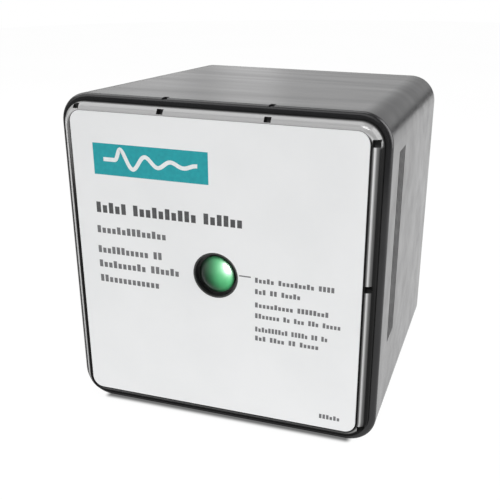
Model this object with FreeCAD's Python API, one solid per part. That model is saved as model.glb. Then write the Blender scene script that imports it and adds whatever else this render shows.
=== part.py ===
import FreeCAD, Part
import math
import os

# Whole house surge protector: a moulded box with a snapped-in front cover and one indicator light,
# a varistor board and a light board inside, and a threaded nipple at the back that passes the leads
# and is clamped to a panel by its own locknut.
#
# Frame: +X to the right of someone facing the front, +Y into the wall, +Z up, millimetres.
# Origin: centre of the bounding box in X and Y, at the level of the flat bottom.
# "Depth" below means the distance behind the plane of the front cover.

Vector = FreeCAD.Vector
ALONG_X = Vector(1, 0, 0)
ALONG_Y = Vector(0, 1, 0)
ALONG_Z = Vector(0, 0, 1)

# ---------------------------------------------------------------- driving dimensions: the case
WIDTH = 100.0
HEIGHT = 101.0
CASE_DEPTH = 98.0
CORNER_RADIUS = 9.0
WALL = 3.0
SIDE_DRAFT = 0.014
TOP_DRAFT = 0.010
BACK_EDGE_RADIUS = 3.0
SHOULDER_EDGE_RADIUS = 1.0

COVER_PROUD = 3.4
COVER_INSET = 2.1
COVER_PANEL = 2.5
COVER_RIM_RADIUS = 2.8
SKIRT_THICKNESS = 2.0
SKIRT_END = 9.0
GASKET_THICKNESS = 1.5
FIT_GAP = 0.1

LABEL_LEFT = -45.0
LABEL_RIGHT = 44.5
LABEL_LOW = 5.0
LABEL_HIGH = 96.5
LABEL_CORNER_RADIUS = 3.5
LABEL_THICKNESS = 0.25
LABEL_RECESS = 0.3

NOTCH_WIDTH = 2.0
NOTCH_DEPTH = 1.6
NOTCHES_ALONG_TOP = (-43.0, -16.0, 16.0)
NOTCHES_UP_RIGHT_SIDE = (6.5, 52.3, 93.5)
LATCHES_ALONG_TOP = (-16.0, 16.0)
PRY_SLOT_WIDTH = 1.6
PRY_SLOT_LENGTH = 2.6
PRY_SLOT_DEPTH = 0.5
LATCH_WIDTH = 6.0
LATCH_LENGTH = 1.5
LATCH_HEIGHT = 0.5
LATCH_FRONT = 6.2

GRIP_FRONT = 16.0
GRIP_LOW = 29.3
GRIP_HIGH = 88.5
GRIP_GROOVES = 5
GRIP_PITCH = 2.2
GRIP_GROOVE_WIDTH = 1.4
GRIP_DEPTH = 0.6

# ---------------------------------------------------------------- driving dimensions: the light
WELL_RADIUS = 7.1
WELL_WALL = 0.5
WELL_FLOOR_FRONT = 2.2
WELL_FLOOR_BACK = 6.4
WELL_END = 7.4
WELL_FLANGE_RADIUS = 9.2
WELL_FLANGE_THICKNESS = 1.2
SEAL_THICKNESS = 1.2
LENS_RADIUS = 5.7
LENS_CURVE_RADIUS = 6.8
LENS_CURVE_CENTRE = 5.0
LENS_WALL = 0.9
LENS_FLANGE_RADIUS = 6.5
RETAINER_RING_THICKNESS = 1.2
LED_RADIUS = 2.5
LED_APEX = 0.8
LED_BACK = 9.4
SLIP = 0.05

# ---------------------------------------------------------------- driving dimensions: the boards
BOARD_THICKNESS = 1.6
LIGHT_BOARD_FRONT = 14.0
LIGHT_BOARD_HALF_WIDTH = 31.0
LIGHT_BOARD_HALF_HEIGHT = 24.0
LIGHT_BOARD_POST_X = 26.0
LIGHT_BOARD_POST_Z = 19.0
POWER_BOARD_FRONT = 80.0
POWER_BOARD_HALF_WIDTH = 43.0
POWER_BOARD_HALF_HEIGHT = 43.0
POWER_BOARD_POST = 38.5
POST_RADIUS = 3.2
SCREW_RADIUS = 1.4
PIN_RADIUS = 0.4
PIN_HOLE_RADIUS = 0.5
PIN_PROUD = 1.0

VARISTOR_RADIUS = 10.5
VARISTOR_THICKNESS = 5.0
VARISTOR_XS = (-36.0, -28.0, -20.0, -12.0, 12.0, 20.0, 28.0, 36.0)
VARISTOR_RISE = 20.0
VARISTOR_LEAD_PITCH = 7.5
CUTOFF_XS = (-32.0, -16.0, 16.0, 32.0)
CUTOFF_HALF_SPAN = 14.0
FUSE_X = 36.0
FUSE_DROP = 18.0
CAPACITOR_X = -18.0
CAPACITOR_DROPS = (32.0, 20.5, 9.0)
DROPPER_XS = (6.0, 14.0)
HARNESS_OFFSETS = (-2.54, 0.0, 2.54)

# ---------------------------------------------------------------- driving dimensions: the nipple
# 3/4-14 straight pipe thread, drawn as a plain cylinder on its major diameter
THREAD_RADIUS = 13.2
THREAD_PITCH = 25.4 / 14
NIPPLE_BORE_RADIUS = 10.4
NIPPLE_PROJECTION = 21.0
FLANGE_ACROSS_FLATS = 30.0
FLANGE_FRONT = 89.0
FLANGE_THICKNESS = 3.0
NIPPLE_BOSS_RADIUS = 21.0
RELIEF_START = 10.6
RELIEF_WIDTH = 1.4
RELIEF_DEPTH = 0.5
END_CHAMFER = 0.8
SEAT_RECESS_RADIUS = 19.0
SEAT_RECESS_DEPTH = 1.5
RETAINER_THICKNESS = 0.8
SEALING_WASHER_THICKNESS = 1.4
THREAD_GAP = 0.1
CLAMP_WASHER_START = 3.6
CLAMP_WASHER_THICKNESS = 1.6
CLAMP_WASHER_RADIUS = 17.2
NUT_THICKNESS = 4.4
NUT_RADIUS = 16.0
NUT_LUG_RADIUS = 18.3
NUT_LUG_WIDTH = 4.6
NUT_LUGS = 8

# ---------------------------------------------------------------- worked out from the above
MID_HEIGHT = HEIGHT / 2
LENS_PROUD = LENS_CURVE_RADIUS - LENS_CURVE_CENTRE
OVERALL_DEPTH = LENS_PROUD + CASE_DEPTH + NIPPLE_PROJECTION
FRONT_PLANE_Y = LENS_PROUD - OVERALL_DEPTH / 2
BACK_FACE_Y = FRONT_PLANE_Y + CASE_DEPTH
COVER_HALF_WIDTH = WIDTH / 2 - COVER_INSET
COVER_HALF_HEIGHT = HEIGHT / 2 - COVER_INSET
COVER_CORNER_RADIUS = CORNER_RADIUS - COVER_INSET
REBATE_END = SKIRT_END + GASKET_THICKNESS
LIGHT_BOARD_BACK = LIGHT_BOARD_FRONT + BOARD_THICKNESS
POWER_BOARD_BACK = POWER_BOARD_FRONT + BOARD_THICKNESS
VARISTOR_Z = MID_HEIGHT + VARISTOR_RISE
VARISTOR_DEPTH = POWER_BOARD_FRONT - VARISTOR_RADIUS - 3.0
FUSE_Z = MID_HEIGHT - FUSE_DROP


def y_at(depth):
    return FRONT_PLANE_Y + depth


def rod(radius, x, z, depth_0, depth_1):
    """A round rod along the depth, centred on x, z."""
    start = Vector(x, y_at(depth_0), z)
    return Part.makeCylinder(radius, depth_1 - depth_0, start, ALONG_Y)


def ring(outer, inner, x, z, depth_0, depth_1):
    return rod(outer, x, z, depth_0, depth_1).cut(rod(inner, x, z, depth_0 - 1, depth_1 + 1))


def block(x_0, x_1, depth_0, depth_1, z_0, z_1):
    corner = Vector(x_0, y_at(depth_0), z_0)
    return Part.makeBox(x_1 - x_0, depth_1 - depth_0, z_1 - z_0, corner)


def centred_block(x, z, width, height, depth_0, depth_1):
    return block(x - width / 2, x + width / 2, depth_0, depth_1, z - height / 2, z + height / 2)


def joined(shapes):
    """All the shapes fused into one solid."""
    whole = shapes[0]
    if len(shapes) > 1:
        whole = whole.multiFuse(shapes[1:])
    return whole.removeSplitter()


def without(shape, tools):
    for tool in tools:
        shape = shape.cut(tool)
    return shape


def outline(half_width, z_low, z_high, radius, depth):
    """A rounded rectangle across the depth, as one closed wire."""
    y = y_at(depth)
    corners = (
        (half_width - radius, z_high - radius, 0),
        (radius - half_width, z_high - radius, 90),
        (radius - half_width, z_low + radius, 180),
        (half_width - radius, z_low + radius, 270),
    )

    def on_arc(centre_x, centre_z, degrees):
        angle = math.radians(degrees)
        return Vector(centre_x + radius * math.cos(angle), y, centre_z + radius * math.sin(angle))

    arcs = []
    for centre_x, centre_z, start in corners:
        points = [on_arc(centre_x, centre_z, start + turn) for turn in (0, 45, 90)]
        arcs.append(Part.Arc(*points).toShape())
    edges = []
    for index, arc in enumerate(arcs):
        next_arc = arcs[(index + 1) % len(arcs)]
        edges.append(arc)
        end, start = arc.Vertexes[-1].Point, next_arc.Vertexes[0].Point
        edges.append(Part.LineSegment(end, start).toShape())
    return Part.Wire(edges)


def plate(half_width, z_low, z_high, radius, depth_0, depth_1):
    face = Part.Face(outline(half_width, z_low, z_high, radius, depth_0))
    return face.extrude(Vector(0, depth_1 - depth_0, 0))


def flat_faced_block(inset, depth_0, depth_1):
    """The case's drafted outline with sharp corners, inset all round: flat at the bottom, and
    narrowing towards the back at both sides and the top."""
    ends = []
    for depth in (depth_0, depth_1):
        y = y_at(depth)
        run = depth - COVER_PROUD
        half_width = WIDTH / 2 - inset - SIDE_DRAFT * run
        top = HEIGHT - inset - TOP_DRAFT * run
        places = ((-half_width, inset), (half_width, inset), (half_width, top), (-half_width, top))
        ends.append([Vector(x, y, z) for x, z in places])
    front, back = ends
    rings = [front, back]
    for index in range(4):
        after = (index + 1) % 4
        rings.append([front[index], front[after], back[after], back[index]])
    faces = [Part.Face(Part.makePolygon(corners + corners[:1])) for corners in rings]
    return Part.makeSolid(Part.makeShell(faces))


def drafted_block(inset, radius, depth_0, depth_1):
    """The block inside the case's drafted outline, with its four long edges rounded."""
    solid = flat_faced_block(inset, depth_0, depth_1)
    length = depth_1 - depth_0
    return solid.makeFillet(radius, [edge for edge in solid.Edges if edge.BoundBox.YLength > 0.9 * length])


def edges_at_depth(shape, depth):
    """The edges that lie wholly in the plane at one depth."""
    y = y_at(depth)
    found = []
    for edge in shape.Edges:
        box = edge.BoundBox
        if abs(box.YMin - y) < 1e-4 and abs(box.YMax - y) < 1e-4:
            found.append(edge)
    return found


def board_screw(x, z, head_depth, tip_depth):
    """A pan-head screw whose head lies in front of head_depth (towards tip_depth is the shank)."""
    reach = 1.0 if tip_depth > head_depth else -1.0
    head_end = head_depth - reach * 1.9
    head = rod(2.6, x, z, min(head_end, head_depth), max(head_end, head_depth))
    shank = rod(SCREW_RADIUS, x, z, min(head_depth, tip_depth), max(head_depth, tip_depth))
    slot_middle = head_end + reach * 0.4
    slot = centred_block(x, z, 4.0, 0.8, slot_middle - 0.4, slot_middle + 0.4)
    return joined([head, shank]).cut(slot)


# ---------------------------------------------------------------- the case
def latch_places():
    """(x, z, across) of each latch: across is the direction out of the case there."""
    places = []
    for x in LATCHES_ALONG_TOP:
        places.append((x, MID_HEIGHT + COVER_HALF_HEIGHT, ALONG_Z))
        places.append((x, MID_HEIGHT - COVER_HALF_HEIGHT, ALONG_Z * -1))
    places.append((COVER_HALF_WIDTH, MID_HEIGHT, ALONG_X))
    places.append((-COVER_HALF_WIDTH, MID_HEIGHT, ALONG_X * -1))
    return places


def latch_bar(place, clearance):
    """The small bar on the cover's skirt that snaps into the case, or the pocket for it."""
    x, z, across = place
    height = LATCH_HEIGHT + clearance
    middle_x = x + across.x * (height / 2 - 0.2)
    middle_z = z + across.z * (height / 2 - 0.2)
    long_side = LATCH_WIDTH + 2 * clearance
    thick = height + 0.4
    width = thick if across.x else long_side
    tall = long_side if across.x else thick
    front = LATCH_FRONT - clearance
    back = LATCH_FRONT + LATCH_LENGTH + clearance
    return centred_block(middle_x, middle_z, width, tall, front, back)


def pry_slots():
    """Shallow slots in the case's top front edge, one above each latch."""
    slots = []
    front, back = COVER_PROUD - 1, COVER_PROUD + PRY_SLOT_LENGTH
    for x in LATCHES_ALONG_TOP:
        slots.append(centred_block(x, HEIGHT, PRY_SLOT_WIDTH, 2 * PRY_SLOT_DEPTH, front, back))
    return slots


def side_grips():
    """The fine upright grooves down each side, cut to an even depth in the drafted wall."""
    grooves = []
    for side in (-1, 1):
        for count in range(GRIP_GROOVES):
            front = GRIP_FRONT + count * GRIP_PITCH
            back = front + GRIP_GROOVE_WIDTH
            surface = WIDTH / 2 - SIDE_DRAFT * ((front + back) / 2 - COVER_PROUD)
            inner = side * (surface - GRIP_DEPTH)
            outer = side * (surface + GRIP_DEPTH)
            grooves.append(block(min(inner, outer), max(inner, outer), front, back, GRIP_LOW, GRIP_HIGH))
    return grooves


def hex_prism(across_flats, depth_0, depth_1):
    corner_radius = across_flats / 2 / math.cos(math.radians(30))
    points = []
    for corner in range(7):
        angle = math.radians(60 * corner)
        x = corner_radius * math.cos(angle)
        z = MID_HEIGHT + corner_radius * math.sin(angle)
        points.append(Vector(x, y_at(depth_0), z))
    face = Part.Face(Part.makePolygon(points))
    return face.extrude(Vector(0, depth_1 - depth_0, 0))


def power_post_places():
    places = []
    for x in (-POWER_BOARD_POST, POWER_BOARD_POST):
        for z in (MID_HEIGHT - POWER_BOARD_POST, MID_HEIGHT + POWER_BOARD_POST):
            places.append((x, z))
    return places


def rear_housing():
    outer = drafted_block(0.0, CORNER_RADIUS, COVER_PROUD, CASE_DEPTH)
    outer = outer.makeFillet(BACK_EDGE_RADIUS, edges_at_depth(outer, CASE_DEPTH))
    outer = outer.makeFillet(SHOULDER_EDGE_RADIUS, edges_at_depth(outer, COVER_PROUD))
    inner_end = CASE_DEPTH - WALL
    cavity = drafted_block(WALL, CORNER_RADIUS - WALL, COVER_PROUD, inner_end)
    half_width = COVER_HALF_WIDTH + FIT_GAP
    half_height = COVER_HALF_HEIGHT + FIT_GAP
    rebate = plate(half_width, MID_HEIGHT - half_height, MID_HEIGHT + half_height,
                   COVER_CORNER_RADIUS, COVER_PROUD - 1, REBATE_END)
    shell = without(outer, [cavity, rebate])
    additions = [rod(NIPPLE_BOSS_RADIUS, 0, MID_HEIGHT, FLANGE_FRONT, inner_end + 1)]
    for x, z in power_post_places():
        additions.append(rod(POST_RADIUS + 0.5, x, z, POWER_BOARD_BACK, inner_end + 1))
    shell = joined([shell] + additions)
    cuts = [rod(THREAD_RADIUS + SLIP, 0, MID_HEIGHT, FLANGE_FRONT - 1, CASE_DEPTH + 1)]
    cuts.append(hex_prism(FLANGE_ACROSS_FLATS + 0.2, FLANGE_FRONT - 1, FLANGE_FRONT + FLANGE_THICKNESS))
    cuts.append(rod(SEAT_RECESS_RADIUS, 0, MID_HEIGHT, CASE_DEPTH - SEAT_RECESS_DEPTH, CASE_DEPTH + 1))
    for x, z in power_post_places():
        cuts.append(rod(SCREW_RADIUS + SLIP, x, z, POWER_BOARD_BACK - 1, POWER_BOARD_BACK + 9))
    for place in latch_places():
        cuts.append(latch_bar(place, 0.15))
    return without(shell, cuts + pry_slots() + side_grips())


def rim_notches():
    """Small square pockets in the cover's rounded rim, open to the front, along the top and up the right."""
    half = NOTCH_WIDTH / 2
    low, high = LABEL_HIGH + 0.4, MID_HEIGHT + COVER_HALF_HEIGHT - 0.6
    notches = []
    for x in NOTCHES_ALONG_TOP:
        notches.append(block(x - half, x + half, -1, NOTCH_DEPTH, low, high))
    left, right = LABEL_RIGHT + 0.6, COVER_HALF_WIDTH - 0.7
    for z in NOTCHES_UP_RIGHT_SIDE:
        notches.append(block(left, right, -1, NOTCH_DEPTH, z - half, z + half))
    return notches


def label_sheet(gap, depth_0, depth_1):
    """The label's outline grown by a gap. The label reaches a little further to the left and the top."""
    sheet = plate((LABEL_RIGHT - LABEL_LEFT) / 2 + gap, LABEL_LOW - gap, LABEL_HIGH + gap,
                  LABEL_CORNER_RADIUS, depth_0, depth_1)
    sheet.translate(Vector((LABEL_LEFT + LABEL_RIGHT) / 2, 0, 0))
    return sheet


def light_post_places():
    places = []
    for x in (-LIGHT_BOARD_POST_X, LIGHT_BOARD_POST_X):
        for z in (MID_HEIGHT - LIGHT_BOARD_POST_Z, MID_HEIGHT + LIGHT_BOARD_POST_Z):
            places.append((x, z))
    return places


def front_cover():
    low, high = MID_HEIGHT - COVER_HALF_HEIGHT, MID_HEIGHT + COVER_HALF_HEIGHT
    cap = plate(COVER_HALF_WIDTH, low, high, COVER_CORNER_RADIUS, 0, SKIRT_END)
    cap = cap.makeFillet(COVER_RIM_RADIUS, edges_at_depth(cap, 0))
    inside = plate(COVER_HALF_WIDTH - SKIRT_THICKNESS, low + SKIRT_THICKNESS, high - SKIRT_THICKNESS,
                   COVER_CORNER_RADIUS - SKIRT_THICKNESS, COVER_PANEL, SKIRT_END + 1)
    cap = cap.cut(inside)
    additions = []
    for x, z in light_post_places():
        additions.append(rod(POST_RADIUS, x, z, COVER_PANEL - 1, LIGHT_BOARD_FRONT))
    for place in latch_places():
        additions.append(latch_bar(place, 0.0))
    cap = joined([cap] + additions)
    cuts = [label_sheet(FIT_GAP, -1, LABEL_RECESS), rod(WELL_RADIUS + SLIP, 0, MID_HEIGHT, -1, COVER_PANEL + 1)]
    for x, z in light_post_places():
        cuts.append(rod(SCREW_RADIUS + SLIP, x, z, COVER_PANEL + 1.5, LIGHT_BOARD_FRONT + 1))
    return without(cap, cuts + rim_notches())


def cover_gasket():
    low, high = MID_HEIGHT - COVER_HALF_HEIGHT, MID_HEIGHT + COVER_HALF_HEIGHT
    outer = plate(COVER_HALF_WIDTH, low, high, COVER_CORNER_RADIUS, SKIRT_END, REBATE_END)
    width = 1.4
    inner = plate(COVER_HALF_WIDTH - width, low + width, high - width,
                  COVER_CORNER_RADIUS - width, SKIRT_END - 1, REBATE_END + 1)
    return outer.cut(inner)


def front_label():
    sheet = label_sheet(0, LABEL_RECESS - LABEL_THICKNESS, LABEL_RECESS)
    return sheet.cut(rod(WELL_RADIUS + SLIP, 0, MID_HEIGHT, -1, 1))


# ---------------------------------------------------------------- the indicator light
def lens_well():
    """A black cup flush with the label, with a flange behind the panel and a hole in its floor."""
    well = rod(WELL_RADIUS, 0, MID_HEIGHT, LABEL_RECESS - LABEL_THICKNESS, WELL_END)
    flange_front = COVER_PANEL + SEAL_THICKNESS
    flange = rod(WELL_FLANGE_RADIUS, 0, MID_HEIGHT, flange_front, flange_front + WELL_FLANGE_THICKNESS)
    mouth = rod(WELL_RADIUS - WELL_WALL, 0, MID_HEIGHT, -1, WELL_FLOOR_FRONT)
    floor_hole = rod(LENS_RADIUS + SLIP, 0, MID_HEIGHT, WELL_FLOOR_FRONT - 1, WELL_FLOOR_BACK + 1)
    lens_seat = rod(LENS_FLANGE_RADIUS + SLIP, 0, MID_HEIGHT, WELL_FLOOR_BACK, WELL_END + 1)
    return without(joined([well, flange]), [mouth, floor_hole, lens_seat])


def domed_rod(radius, curve_radius, depth_1):
    """A rod with a shallow domed front end, centred on the light."""
    centre = Vector(0, y_at(LENS_CURVE_CENTRE), MID_HEIGHT)
    straight = rod(radius, 0, MID_HEIGHT, LENS_CURVE_CENTRE, depth_1)
    front = rod(radius, 0, MID_HEIGHT, -LENS_PROUD - 1, LENS_CURVE_CENTRE)
    return joined([front.common(Part.makeSphere(curve_radius, centre)), straight])


def indicator_lens():
    """A shallow domed cap on a short tube with a flange at its foot, hollow behind."""
    flange = rod(LENS_FLANGE_RADIUS, 0, MID_HEIGHT, WELL_FLOOR_BACK, WELL_END)
    outside = joined([domed_rod(LENS_RADIUS, LENS_CURVE_RADIUS, WELL_END), flange])
    return outside.cut(domed_rod(LENS_RADIUS - LENS_WALL, LENS_CURVE_RADIUS - LENS_WALL, WELL_END + 1))


def lens_seal():
    return ring(WELL_FLANGE_RADIUS - 0.2, WELL_RADIUS, 0, MID_HEIGHT,
                COVER_PANEL, COVER_PANEL + SEAL_THICKNESS)


def lens_retainer():
    return ring(WELL_RADIUS, LENS_RADIUS, 0, MID_HEIGHT, WELL_END, WELL_END + RETAINER_RING_THICKNESS)


def status_led():
    """A 5 mm light-emitting diode, dome forwards, with two legs through the board."""
    dome_centre = Vector(0, y_at(LED_APEX + LED_RADIUS), MID_HEIGHT)
    body = rod(LED_RADIUS, 0, MID_HEIGHT, LED_APEX + LED_RADIUS, LED_BACK)
    flange = rod(LED_RADIUS + 0.4, 0, MID_HEIGHT, LED_BACK - 1.0, LED_BACK)
    pieces = [Part.makeSphere(LED_RADIUS, dome_centre), body, flange]
    for x in (-1.27, 1.27):
        pieces.append(rod(PIN_RADIUS, x, MID_HEIGHT, LED_BACK - 0.5, LIGHT_BOARD_BACK + PIN_PROUD))
    return joined(pieces)


def led_spacer():
    spacer = rod(LED_RADIUS + 0.4, 0, MID_HEIGHT, LED_BACK, LIGHT_BOARD_FRONT)
    slot = centred_block(0, MID_HEIGHT, 4.2, 1.2, LED_BACK - 1, LIGHT_BOARD_FRONT + 1)
    return spacer.cut(slot)


# ---------------------------------------------------------------- the light board
RECTIFIER_AT = (-18.0, MID_HEIGHT - 8.0)
SMOOTHER_AT = (-16.0, MID_HEIGHT + 10.0)
DRIVER_AT = (14.0, MID_HEIGHT + 10.0)
CONNECTOR_Z = MID_HEIGHT - 14.0
LIGHT_CONNECTOR_X = 20.0
POWER_CONNECTOR_X = 27.0
CONNECTOR_DEPTH = 6.0


def indicator_board():
    board = plate(LIGHT_BOARD_HALF_WIDTH, MID_HEIGHT - LIGHT_BOARD_HALF_HEIGHT,
                  MID_HEIGHT + LIGHT_BOARD_HALF_HEIGHT, 2.0, LIGHT_BOARD_FRONT, LIGHT_BOARD_BACK)
    holes = []
    for x, z in light_post_places():
        holes.append(rod(SCREW_RADIUS + 0.2, x, z, LIGHT_BOARD_FRONT - 1, LIGHT_BOARD_BACK + 1))
    for x in (-1.27, 1.27):
        holes.append(rod(PIN_HOLE_RADIUS, x, MID_HEIGHT, LIGHT_BOARD_FRONT - 1, LIGHT_BOARD_BACK + 1))
    return without(board, holes)


def indicator_resistors():
    chips = []
    for index in range(5):
        x = -4.0 + 4.0 * index
        chips.append(centred_block(x, MID_HEIGHT - 8, 1.6, 3.2, LIGHT_BOARD_BACK, LIGHT_BOARD_BACK + 0.6))
    return Part.makeCompound(chips)


def bridge_rectifier():
    x, z = RECTIFIER_AT
    body = centred_block(x, z, 8.0, 6.4, LIGHT_BOARD_BACK + 0.4, LIGHT_BOARD_BACK + 3.2)
    pieces = [body]
    for side_x in (-2.5, 2.5):
        pieces.append(centred_block(x + side_x, z, 1.0, 9.2, LIGHT_BOARD_BACK, LIGHT_BOARD_BACK + 0.8))
    return joined(pieces)


def smoothing_capacitor():
    x, z = SMOOTHER_AT
    can = rod(4.0, x, z, LIGHT_BOARD_BACK + 0.5, LIGHT_BOARD_BACK + 10.5)
    can = can.makeFillet(0.6, edges_at_depth(can, LIGHT_BOARD_BACK + 10.5))
    foot = rod(3.4, x, z, LIGHT_BOARD_BACK, LIGHT_BOARD_BACK + 0.5)
    return joined([can, foot])


def driver_chip():
    x, z = DRIVER_AT
    pieces = [centred_block(x, z, 4.9, 3.9, LIGHT_BOARD_BACK + 0.2, LIGHT_BOARD_BACK + 1.7)]
    for leg in range(4):
        leg_x = x + 1.27 * (leg - 1.5)
        pieces.append(centred_block(leg_x, z, 0.4, 6.0, LIGHT_BOARD_BACK, LIGHT_BOARD_BACK + 0.4))
    return joined(pieces)


def connector(x, depth_0, depth_1, wire_end):
    """A three-way plug and header, with a round socket for each wire in its wire_end face."""
    body = centred_block(x, CONNECTOR_Z, 5.0, 10.2, depth_0, depth_1)
    sockets = []
    for offset in HARNESS_OFFSETS:
        sockets.append(rod(0.85, x, CONNECTOR_Z + offset, wire_end - 2.0, wire_end + 2.0))
    return without(body, sockets)


def indicator_connector():
    back = LIGHT_BOARD_BACK + CONNECTOR_DEPTH
    return connector(LIGHT_CONNECTOR_X, LIGHT_BOARD_BACK, back, back)


def indicator_board_screws():
    screws = [board_screw(x, z, LIGHT_BOARD_BACK, LIGHT_BOARD_FRONT - 8) for x, z in light_post_places()]
    return Part.makeCompound(screws)


# ---------------------------------------------------------------- the wires between the boards
def harness_wire(offset):
    """One wire: straight out of each connector, with a tangent S of two equal arcs between."""
    z = CONNECTOR_Z + offset
    start = LIGHT_BOARD_BACK + CONNECTOR_DEPTH - 2.0
    end = POWER_BOARD_FRONT - CONNECTOR_DEPTH + 2.0
    shift = POWER_CONNECTOR_X - LIGHT_CONNECTOR_X
    middle = (start + end) / 2
    radius = 30.0
    bend = math.acos(1 - shift / (2 * radius))
    half_run = radius * math.sin(bend)
    half_bend = bend / 2

    def point(x, depth):
        return Vector(x, y_at(depth), z)

    first_end = point(LIGHT_CONNECTOR_X, middle - half_run)
    first_middle = point(LIGHT_CONNECTOR_X + radius * (1 - math.cos(half_bend)),
                         middle - half_run + radius * math.sin(half_bend))
    crossing = point(LIGHT_CONNECTOR_X + shift / 2, middle)
    last_middle = point(POWER_CONNECTOR_X - radius * (1 - math.cos(half_bend)),
                        middle + half_run - radius * math.sin(half_bend))
    last_start = point(POWER_CONNECTOR_X, middle + half_run)
    edges = [
        Part.LineSegment(point(LIGHT_CONNECTOR_X, start), first_end).toShape(),
        Part.Arc(first_end, first_middle, crossing).toShape(),
        Part.Arc(crossing, last_middle, last_start).toShape(),
        Part.LineSegment(last_start, point(POWER_CONNECTOR_X, end)).toShape(),
    ]
    section = Part.Wire(Part.makeCircle(0.8, point(LIGHT_CONNECTOR_X, start), ALONG_Y))
    return Part.Wire(edges).makePipeShell([section], True, False)


# ---------------------------------------------------------------- the varistor board
def lead_pins(places, start_depth):
    """Straight legs from a component down through the varistor board."""
    return [rod(PIN_RADIUS, x, z, start_depth, POWER_BOARD_BACK + PIN_PROUD) for x, z in places]


def varistor_pin_places(x):
    return [(x, VARISTOR_Z - VARISTOR_LEAD_PITCH / 2), (x, VARISTOR_Z + VARISTOR_LEAD_PITCH / 2)]


def cutoff_pin_places(x):
    return [(x, VARISTOR_Z - CUTOFF_HALF_SPAN), (x, VARISTOR_Z + CUTOFF_HALF_SPAN)]


def capacitor_pin_places(drop):
    return [(CAPACITOR_X - 7.5, MID_HEIGHT - drop), (CAPACITOR_X + 7.5, MID_HEIGHT - drop)]


def dropper_pin_places(x):
    return [(x, MID_HEIGHT - 34), (x, MID_HEIGHT - 14)]


GAS_TUBE_X = 8.0
GAS_TUBE_Z = MID_HEIGHT - 5.0


def gas_tube_pin_places():
    return [(GAS_TUBE_X - 7, GAS_TUBE_Z), (GAS_TUBE_X + 7, GAS_TUBE_Z)]


def all_pin_places():
    places = gas_tube_pin_places()
    for x in VARISTOR_XS:
        places += varistor_pin_places(x)
    for x in CUTOFF_XS:
        places += cutoff_pin_places(x)
    for drop in CAPACITOR_DROPS:
        places += capacitor_pin_places(drop)
    for x in DROPPER_XS:
        places += dropper_pin_places(x)
    return places


def power_board():
    board = plate(POWER_BOARD_HALF_WIDTH, MID_HEIGHT - POWER_BOARD_HALF_HEIGHT,
                  MID_HEIGHT + POWER_BOARD_HALF_HEIGHT, 2.0, POWER_BOARD_FRONT, POWER_BOARD_BACK)
    holes = []
    for x, z in power_post_places():
        holes.append(rod(SCREW_RADIUS + 0.2, x, z, POWER_BOARD_FRONT - 1, POWER_BOARD_BACK + 1))
    for x, z in all_pin_places():
        holes.append(rod(PIN_HOLE_RADIUS, x, z, POWER_BOARD_FRONT - 1, POWER_BOARD_BACK + 1))
    return board.cut(Part.makeCompound(holes))


def power_board_screws():
    screws = [board_screw(x, z, POWER_BOARD_FRONT, POWER_BOARD_BACK + 8) for x, z in power_post_places()]
    return Part.makeCompound(screws)


def power_connector():
    front = POWER_BOARD_FRONT - CONNECTOR_DEPTH
    return connector(POWER_CONNECTOR_X, front, POWER_BOARD_FRONT, front)


def varistor(x):
    """A coated disc standing on edge across the board, on two legs."""
    start = Vector(x - VARISTOR_THICKNESS / 2, y_at(VARISTOR_DEPTH), VARISTOR_Z)
    disc = Part.makeCylinder(VARISTOR_RADIUS, VARISTOR_THICKNESS, start, ALONG_X)
    rims = [edge for edge in disc.Edges if edge.BoundBox.XLength < 1e-6]
    disc = disc.makeFillet(1.4, rims)
    return joined([disc] + lead_pins(varistor_pin_places(x), VARISTOR_DEPTH + VARISTOR_RADIUS - 2))


def axial_component(x, body_radius, body_length, centre_depth, pin_places):
    """A barrel lying up and down in front of the board, on two legs with rounded elbows."""
    low, high = pin_places[0][1], pin_places[1][1]
    middle = (low + high) / 2
    start = Vector(x, y_at(centre_depth), middle - body_length / 2)
    barrel = Part.makeCylinder(body_radius, body_length, start, ALONG_Z)
    barrel = barrel.makeFillet(0.5, [edge for edge in barrel.Edges if edge.BoundBox.ZLength < 1e-6])
    wire = Part.makeCylinder(PIN_RADIUS, high - low, Vector(x, y_at(centre_depth), low), ALONG_Z)
    pieces = [barrel, wire] + lead_pins(pin_places, centre_depth)
    for pin_x, pin_z in pin_places:
        pieces.append(Part.makeSphere(PIN_RADIUS, Vector(pin_x, y_at(centre_depth), pin_z)))
    return joined(pieces)


def thermal_cutoff(x):
    depth = VARISTOR_DEPTH - VARISTOR_RADIUS - 2.4
    return axial_component(x, 2.1, 11.0, depth, cutoff_pin_places(x))


def dropper_resistor(x):
    return axial_component(x, 2.6, 12.0, POWER_BOARD_FRONT - 3.2, dropper_pin_places(x))


def line_fuse(x):
    """A ceramic tube fuse with a metal cap on each end."""
    depth = POWER_BOARD_FRONT - 5.0

    def along(radius, z_0, z_1):
        return Part.makeCylinder(radius, z_1 - z_0, Vector(x, y_at(depth), z_0), ALONG_Z)

    tube = along(2.9, FUSE_Z - 15, FUSE_Z + 15)
    caps = [along(3.2, FUSE_Z - 16, FUSE_Z - 10), along(3.2, FUSE_Z + 10, FUSE_Z + 16)]
    return joined([tube] + caps)


def fuse_clips():
    """Two spring clips for each fuse: a base on the board and two cheeks."""
    clips = []
    for x in (-FUSE_X, FUSE_X):
        for z in (FUSE_Z - 13, FUSE_Z + 13):
            base = centred_block(x, z, 8.0, 5.0, POWER_BOARD_FRONT - 0.8, POWER_BOARD_FRONT)
            left = centred_block(x - 3.7, z, 0.6, 5.0, POWER_BOARD_FRONT - 7, POWER_BOARD_FRONT - 0.8)
            right = centred_block(x + 3.7, z, 0.6, 5.0, POWER_BOARD_FRONT - 7, POWER_BOARD_FRONT - 0.8)
            clips.append(joined([base, left, right]))
    return Part.makeCompound(clips)


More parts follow.
